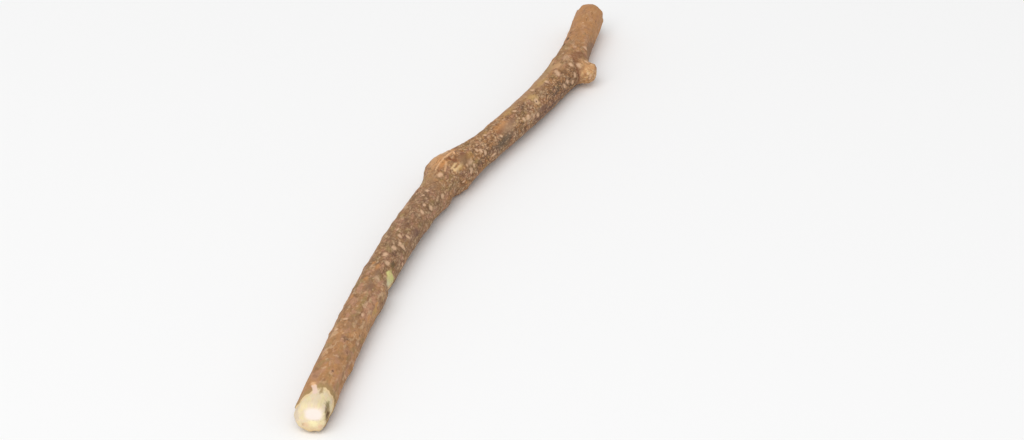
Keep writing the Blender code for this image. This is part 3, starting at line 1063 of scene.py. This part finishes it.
def ramp(tree, value, low, high, top=1.0):
    """Runs from 0 at the low value to the top at the high one, with soft ends."""
    settings = {"interpolation_type": "SMOOTHSTEP"}
    made = add(tree, "MapRange", settings, Value=value, From_Min=low, From_Max=high, To_Max=top)
    return made.outputs["Result"]


def calculate(tree, operation, first, second=0.0):
    made = tree.nodes.new("ShaderNodeMath")
    made.operation = operation
    made.use_clamp = False
    for socket, value in zip(made.inputs, (first, second)):
        if isinstance(value, bpy.types.NodeSocket):
            tree.links.new(value, socket)
        else:
            socket.default_value = value
    return made.outputs[0]


def bark_noise(tree, along, across, offset, detail=3.0, roughness=0.6):
    """Noise on the unrolled bark, with lumps this long along the stem and this wide across it."""
    place = add(tree, "Attribute", {"attribute_name": "bark_place"}).outputs["Vector"]
    scaled = tree.nodes.new("ShaderNodeVectorMath")
    scaled.operation = "MULTIPLY_ADD"
    tree.links.new(place, scaled.inputs[0])
    scaled.inputs[1].default_value = (1 / along, 1 / across, 1 / across)
    scaled.inputs[2].default_value = (offset, offset, offset)
    made = add(tree, "TexNoise", Vector=scaled.outputs[0], Scale=1.0, Detail=detail, Roughness=roughness)
    return made.outputs[0]


def shown(tree, name, low, high, top=1.0):
    """A stored number as a share, from nothing at the low value to the top at the high one."""
    return ramp(tree, stored(tree, name), low, high, top)


def blotches(tree, size, low, high, top=1.0, by=None):
    """Noise cut to soft-edged blotches, fewer where the stored number that it goes by is small."""
    share = ramp(tree, bark_noise(tree, *size), low, high, top)
    return share if by is None else calculate(tree, "MULTIPLY", share, stored(tree, by))


def cells(tree, along, across, offset):
    """How near a place is to the joints between grains of bark of this length and width."""
    place = add(tree, "Attribute", {"attribute_name": "bark_place"}).outputs["Vector"]
    stretch = (1 / along, 1 / across, 1 / across)
    scaled = add(tree, "Mapping", {"vector_type": "POINT"}, Vector=place, Scale=stretch, Location=(offset,) * 3)
    swayed = add(tree, "TexNoise", Vector=scaled.outputs[0], Scale=1.3, Detail=2.0)
    where = mix(tree, 0.35, scaled.outputs[0], swayed.outputs["Color"], "ADD")
    settings = {"feature": "DISTANCE_TO_EDGE"}
    return add(tree, "TexVoronoi", settings, Vector=where, Scale=1.0).outputs["Distance"]


def bark_colour(tree):
    """Grey-brown to orange-tan bark, mottled and speckled."""
    drift = calculate(tree, "MULTIPLY", bark_noise(tree, 4.0, 1.8, 3.0), 1.5)
    warmth = calculate(tree, "ADD", stored(tree, "warmth"), calculate(tree, "SUBTRACT", drift, 0.75))
    colour = mix(tree, ramp(tree, warmth, 0.0, 1.0), display(*GREY_BROWN), display(*ORANGE_TAN))
    colour = mix(tree, blotches(tree, (2.4, 1.4, 9.0, 2.0), 0.5, 0.62, 0.8, "mottle"), colour, display(*PINK_TAN))
    colour = mix(tree, blotches(tree, (2.8, 1.4, 15.0, 2.0), 0.53, 0.66, 0.7, "mottle"), colour, display(*OLIVE_TAN))
    colour = mix(tree, blotches(tree, (2.0, 1.1, 21.0, 2.0), 0.5, 0.66, 0.4, "mottle"), colour, display(*DARK_BROWN))
    colour = mix(tree, blotches(tree, (1.5, 0.9, 30.0, 2.0), 0.54, 0.66, 0.5, "mottle"), colour, display(*PALE_TAN))
    colour = mix(tree, blotches(tree, (1.1, 0.8, 24.0), 0.5, 0.62, 0.65, "speckle"), colour, display(*DARK_BROWN))
    colour = mix(tree, blotches(tree, (0.6, 0.5, 33.0), 0.52, 0.64, 0.8, "speckle"), colour, display(*PALE_TAN))
    joints = calculate(tree, "MULTIPLY", ramp(tree, cells(tree, 0.8, 0.6, 27.0), 0.16, 0.02, 0.7), stored(tree, "speckle"))
    colour = mix(tree, joints, colour, display(*DARK_BROWN))
    return bark_marks(tree, bark_patches(tree, colour))


def lay_patches(tree, colour):
    """Lays the soft patches over a colour, with ragged edges."""
    ragged = calculate(tree, "SUBTRACT", bark_noise(tree, 0.7, 0.5, 36.0), 0.5)
    cover = calculate(tree, "ADD", stored(tree, "tint_cover"), calculate(tree, "MULTIPLY", ragged, 1.8))
    tints = add(tree, "Attribute", {"attribute_name": "tint"}).outputs["Color"]
    return mix(tree, ramp(tree, cover, 0.15, 0.95, 0.85), colour, tints)


def bark_patches(tree, colour):
    """Lays the soft patches, the crest, the stub and the olive edge of the bark over the bark's colour."""
    # Painted shade: a reddish band beside the crest
    colour = mix(tree, shown(tree, "crest_painted_shade", 0.2, 0.9, 0.7), colour, display(*RED_BROWN))
    colour = lay_patches(tree, colour)
    colour = mix(tree, shown(tree, "fold", 0.3, 0.9, 0.5), colour, display(*CREST_TAN))
    # Painted highlight: a pale line along the crest's lip
    colour = mix(tree, shown(tree, "crest", 0.2, 0.9, 0.9), colour, display(*CREST_TAN))
    # Painted shade: a red-brown ring round the stub's foot, where it meets the stem
    colour = mix(tree, shown(tree, "stub_foot", 0.2, 0.9, 0.5), colour, display(*RED_BROWN))
    colour = mix(tree, shown(tree, "stub", 0.0, 0.9, 0.9), colour, display(*STUB_TAN))
    colour = mix(tree, blotches(tree, (0.7, 0.6, 37.0, 1.0), 0.5, 0.62, 0.6, "stub"), colour, display(*CREAM))
    colour = mix(tree, blotches(tree, (1.2, 0.9, 42.0, 2.0), 0.5, 0.66, 0.45, "stub"), colour, display(*RED_BROWN))
    olive = ramp(tree, stored(tree, "past_edge"), 2.2, 0.2, 0.75)
    return mix(tree, olive, colour, display(*OLIVE_EDGE))


def bark_marks(tree, colour):
    """Lays the sooty spots and painted shade, cracks, pores and pits over the bark's colour."""
    # Sooty spots, with painted shade along the right side
    soot_and_shade = blotches(tree, (0.5, 0.22, 39.0, 2.0), 0.46, 0.58, 0.85, "soot_and_shade")
    colour = mix(tree, soot_and_shade, colour, display(*DEEP_BROWN))
    colour = mix(tree, shown(tree, "crack", 0.3, 1.0, 0.6), colour, display(*DARK_BROWN))
    colour = mix(tree, shown(tree, "rim", 0.2, 1.0, 0.3), colour, display(*DARK_BROWN))
    colour = mix(tree, shown(tree, "pore", 0.1, 0.95, 0.85), colour, display(*PALE_PINK))
    return mix(tree, shown(tree, "pit", 0.3, 0.9, 0.8), colour, display(*DEEP_BROWN))


def wood_colour(tree):
    """Pale cut wood, with a painted highlight in its middle, painted shade low down and a stained notch on one end,
    and rings on the other.
    """
    place = add(tree, "Attribute", {"attribute_name": "bark_place"}).outputs["Vector"]
    parts = add(tree, "SeparateXYZ", Vector=place)
    square = calculate(tree, "MULTIPLY", parts.outputs["Y"], parts.outputs["Y"])
    square_up = calculate(tree, "MULTIPLY", parts.outputs["Z"], parts.outputs["Z"])
    radius = calculate(tree, "SQRT", calculate(tree, "ADD", square, square_up))
    ring = calculate(tree, "SINE", calculate(tree, "MULTIPLY", radius, RINGS_PER_MM * 2 * pi))
    sawn = ramp(tree, parts.outputs["X"], LENGTH - 1, LENGTH)
    colour = mix(tree, blotches(tree, (2.0, 1.0, 45.0), 0.4, 0.6), display(*WOOD_CREAM), display(*WOOD_YELLOW))
    colour = mix(tree, blotches(tree, (1.4, 0.6, 48.0), 0.52, 0.7, 0.7), colour, display(*WOOD_PINK))
    colour = mix(tree, blotches(tree, (2.5, 0.2, 51.0), 0.5, 0.75, 0.5), colour, display(*WOOD_STREAK))
    # Painted shade: the cut wood turns tan towards its bottom
    colour = mix(tree, ramp(tree, parts.outputs["Z"], -1.0, -2.6, 0.6), colour, display(*WOOD_TAN))
    colour = mix(tree, ramp(tree, stored(tree, "past_edge"), -1.3, 0.1, 0.75), colour, display(*WOOD_TAN))
    colour = mix(tree, shown(tree, "tongue", 0.2, 0.8, 0.85), colour, display(*TONGUE_PINK))
    colour = lay_patches(tree, colour)
    # Painted highlight: the middle of the whittled face is whitened
    colour = mix(tree, stored(tree, "face_highlight"), colour, display(*HIGHLIGHT_WHITE))
    rings = calculate(tree, "MULTIPLY", ramp(tree, ring, 0.0, 1.0, 0.4), sawn)
    colour = mix(tree, rings, colour, display(*WOOD_STREAK))
    pith = calculate(tree, "MULTIPLY", ramp(tree, radius, PITH_RADIUS, 0.8 * PITH_RADIUS, 0.8), sawn)
    colour = mix(tree, pith, colour, display(*OLIVE_TAN))
    ragged = calculate(tree, "ADD", calculate(tree, "MULTIPLY", bark_noise(tree, 0.9, 0.45, 57.0), 2.2), -0.1)
    torn = calculate(tree, "MULTIPLY", stored(tree, "notch"), ragged)
    colour = mix(tree, ramp(tree, torn, 0.2, 0.6, 0.85), colour, display(*OLIVE_EDGE))
    return mix(tree, ramp(tree, torn, 0.5, 0.95), colour, display(*NOTCH_BROWN))


def stick_material():
    """Bark where the bark is on and bare wood where it is off, with the grain of both as fine bumps."""
    made = bpy.data.materials.new("bark_and_wood")
    made.use_nodes = True
    tree = made.node_tree
    shader = tree.nodes["Principled BSDF"]
    bare = ramp(tree, stored(tree, "wood"), 0.3, 0.7)
    tree.links.new(mix(tree, bare, bark_colour(tree), wood_colour(tree)), shader.inputs["Base Color"])
    gloss = ramp(tree, bark_noise(tree, 1.0, 0.5, 63.0), 0.2, 0.8)
    roughness = add(tree, "MapRange", Value=gloss, To_Min=0.62, To_Max=0.86).outputs["Result"]
    tree.links.new(roughness, shader.inputs["Roughness"])
    shader.inputs["Specular IOR Level"].default_value = 0.3
    grain = calculate(tree, "ADD", bark_noise(tree, 1.6, 0.16, 69.0, 4.0), bark_noise(tree, 0.3, 0.2, 75.0, 3.0))
    bump = add(tree, "Bump", Strength=0.4, Distance=0.00006, Height=grain)
    tree.links.new(bump.outputs["Normal"], shader.inputs["Normal"])
    return made


def lay_out_for_paint(mesh):
    """A flat layout of the surface: the side in three long strips, and the two end faces as discs."""
    strips = 3
    strip_right = 0.86
    margin = 0.006
    disc_middle_u = 0.93
    disc_radius = 0.06
    rows = STEM_ROWS + 2 * FACE_ROWS
    places = stem_row_places()
    layer = mesh.uv_layers.new(name="OFBake")
    loops = np.empty(len(mesh.loops), np.int64)
    mesh.loops.foreach_get("vertex_index", loops)
    start = np.empty(len(mesh.polygons), np.int64)
    mesh.polygons.foreach_get("loop_start", start)
    total = np.empty(len(mesh.polygons), np.int64)
    mesh.polygons.foreach_get("loop_total", total)
    polygon = np.repeat(np.arange(len(total)), total)
    tip = loops >= rows * SIDES
    row = np.minimum(loops // SIDES, rows - 1)
    side = loops % SIDES
    first_row = np.full(len(total), rows)
    np.minimum.at(first_row, polygon, np.where(tip, rows, row))
    wraps = np.zeros(len(total), bool)
    low_side = np.full(len(total), SIDES)
    high_side = np.zeros(len(total), np.int64)
    np.minimum.at(low_side, polygon, np.where(tip, SIDES, side))
    np.maximum.at(high_side, polygon, np.where(tip, 0, side))
    wraps = (high_side - low_side) > 1
    first = first_row[polygon]
    u = np.zeros(len(loops))
    v = np.zeros(len(loops))
    on_near = first < FACE_ROWS
    on_far = first >= FACE_ROWS + STEM_ROWS - 1
    on_side = ~on_near & ~on_far
    stem_row = np.clip(row - FACE_ROWS, 0, STEM_ROWS - 1)
    first_place = places[np.clip(first - FACE_ROWS, 0, STEM_ROWS - 1)]
    strip = np.minimum((first_place / LENGTH * strips).astype(int), strips - 1)
    round_share = (side + np.where(wraps[polygon] & (side == 0), SIDES, 0)) / SIDES
    strip_start = places[np.searchsorted(places, strip * LENGTH / strips)]
    along_share = (places[stem_row] - strip_start) / (LENGTH / strips)
    u[on_side] = (margin + along_share * (strip_right - 3 * margin))[on_side]
    v[on_side] = ((strip + round_share * (1 - 2 * margin * strips) + margin * strips) / strips)[on_side]
    return finish_layout(layer, u, v, on_near, on_far, tip, row, side, rows, disc_middle_u, disc_radius)


def finish_layout(layer, u, v, on_near, on_far, tip, row, side, rows, disc_middle_u, disc_radius):
    """Adds the two discs to the layout."""
    for chosen, middle_v, share in (
        (on_near, 0.25, (row + 1) / (FACE_ROWS + 1)),
        (on_far, 0.75, (rows - row) / (FACE_ROWS + 1)),
    ):
        radius = np.where(tip, 0, np.minimum(share, 1)) * disc_radius
        angle = 2 * np.pi * side / SIDES * (1 if middle_v > 0.5 else -1)
        u[chosen] = (disc_middle_u + radius * np.cos(angle))[chosen]
        v[chosen] = (middle_v + radius * np.sin(angle))[chosen]
    layer.data.foreach_set("uv", np.stack([u, v], axis=-1).ravel())


def make_floor():
    """A plain pale floor that reaches well past the stick."""
    half = 3.0
    mesh = bpy.data.meshes.new("floor")
    mesh.from_pydata([(-half, -half, 0), (half, -half, 0), (half, half, 0), (-half, half, 0)], [], [(0, 1, 2, 3)])
    floor = bpy.data.objects.new("floor", mesh)
    floor.location.z = -0.01 * MM
    bpy.context.scene.collection.objects.link(floor)
    paint = bpy.data.materials.new("floor_paint")
    paint.use_nodes = True
    shader = paint.node_tree.nodes["Principled BSDF"]
    shader.inputs["Base Color"].default_value = (0.9, 0.9, 0.9, 1.0)
    shader.inputs["Roughness"].default_value = 0.9
    shader.inputs["Specular IOR Level"].default_value = 0.1
    mesh.materials.append(paint)


def make_light(name, toward, distance, size, power):
    """A soft square light that shines on the stick from a direction."""
    light = bpy.data.lights.new(name, "AREA")
    light.shape = "SQUARE"
    light.size = size
    light.energy = power
    lamp = bpy.data.objects.new(name, light)
    lamp.location = Vector(toward).normalized() * distance
    lamp.rotation_euler = Vector(toward).to_track_quat("Z", "Y").to_euler()
    bpy.context.scene.collection.objects.link(lamp)


def make_lights():
    make_light("key", (-0.6, 0.03, 0.8), 1.8, 1.7, 20.5)
    world = bpy.data.worlds.new("studio")
    world.use_nodes = True
    sky = world.node_tree.nodes["Background"]
    sky.inputs["Color"].default_value = (1.0, 1.0, 1.0, 1.0)
    sky.inputs["Strength"].default_value = 0.65
    bpy.context.scene.world = world
    bpy.context.scene.view_settings.view_transform = "Standard"


def make_camera():
    """The photograph's view: from beyond the whittled end, a little to its right, looking down."""
    target = Vector((-1.13, -9.47, 0.0)) * MM
    elevation = radians(30.0)
    heading = radians(18.315)
    distance = 521.4 * MM
    lens = 102.92
    forward = Vector((cos(heading) * cos(elevation), sin(heading) * cos(elevation), -sin(elevation)))
    camera = bpy.data.objects.new("camera", bpy.data.cameras.new("camera"))
    camera.data.lens = lens
    camera.data.sensor_width = 36.0
    camera.data.clip_start = 0.01
    camera.location = target - forward * distance
    camera.rotation_euler = forward.to_track_quat("-Z", "Y").to_euler()
    bpy.context.scene.collection.objects.link(camera)
    bpy.context.scene.camera = camera


make_camera()
stick = build_stick()
lay_out_for_paint(stick.data)
stick.data.materials.append(stick_material())
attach(stick, "root")
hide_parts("stick")
make_floor()
make_lights()
